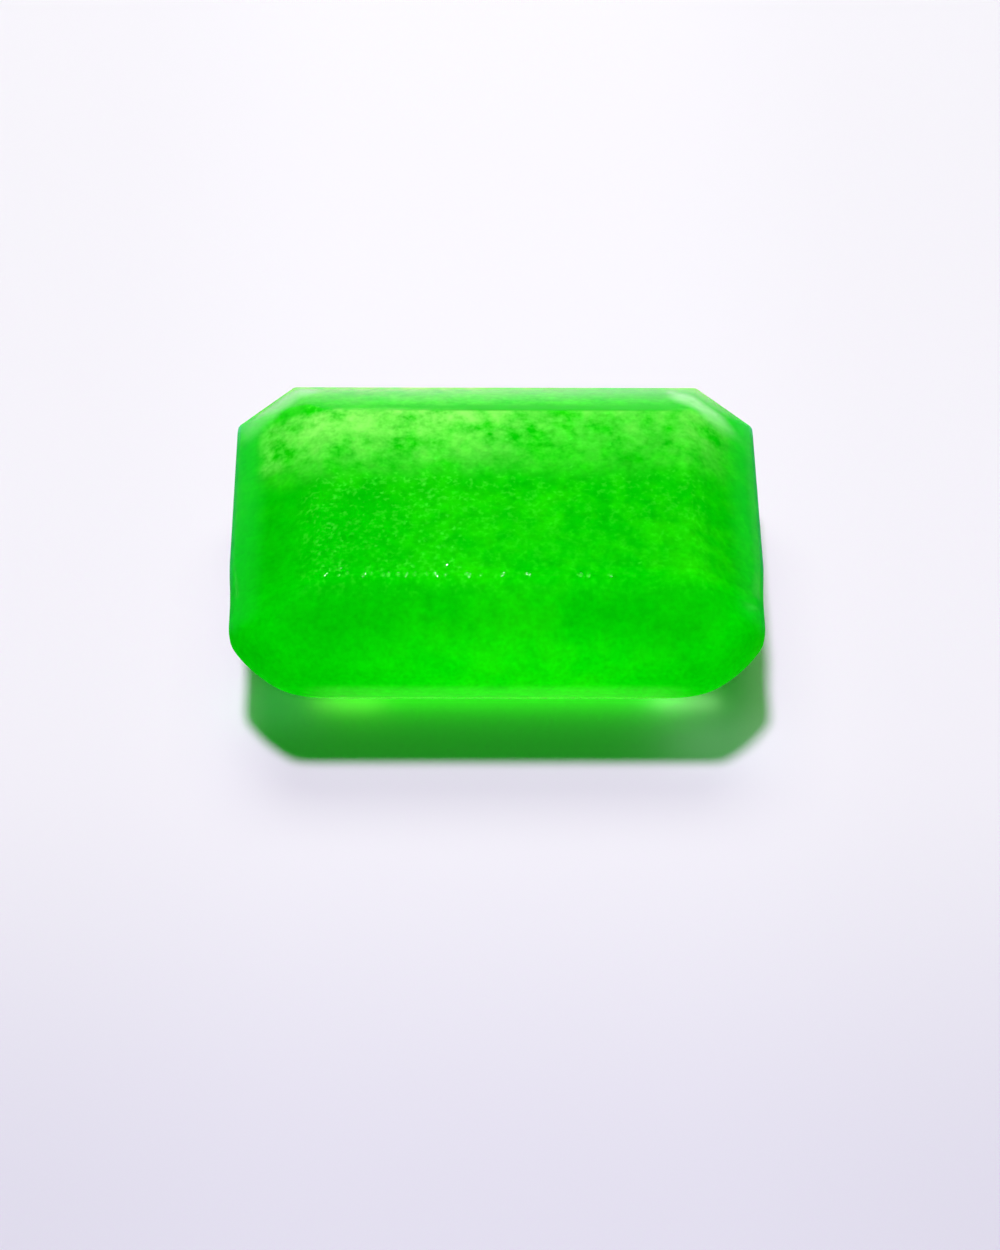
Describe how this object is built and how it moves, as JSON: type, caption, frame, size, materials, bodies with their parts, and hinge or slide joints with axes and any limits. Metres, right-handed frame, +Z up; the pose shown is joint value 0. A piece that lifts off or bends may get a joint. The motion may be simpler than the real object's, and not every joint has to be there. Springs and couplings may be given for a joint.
{
  "type": "cut jade stone",
  "caption": "Loose, faceted oblong stone of translucent green jade with trimmed corners, a flat table on top and a flat base to stand on.",
  "frame": {"origin": "middle of the flat base that the stone stands on, which is the bottom centre of its box", "axes": "+X along the stone's length, towards the right-hand end; -Y towards the front long side; +Z up, out of the table"},
  "size_m": [0.014, 0.01, 0.0046],
  "materials": {
    "jade": "polished translucent green jade with a fine granular texture"
  },
  "bodies": {
    "root": {"jade_stone": "jade"}
  },
  "joints": []
}
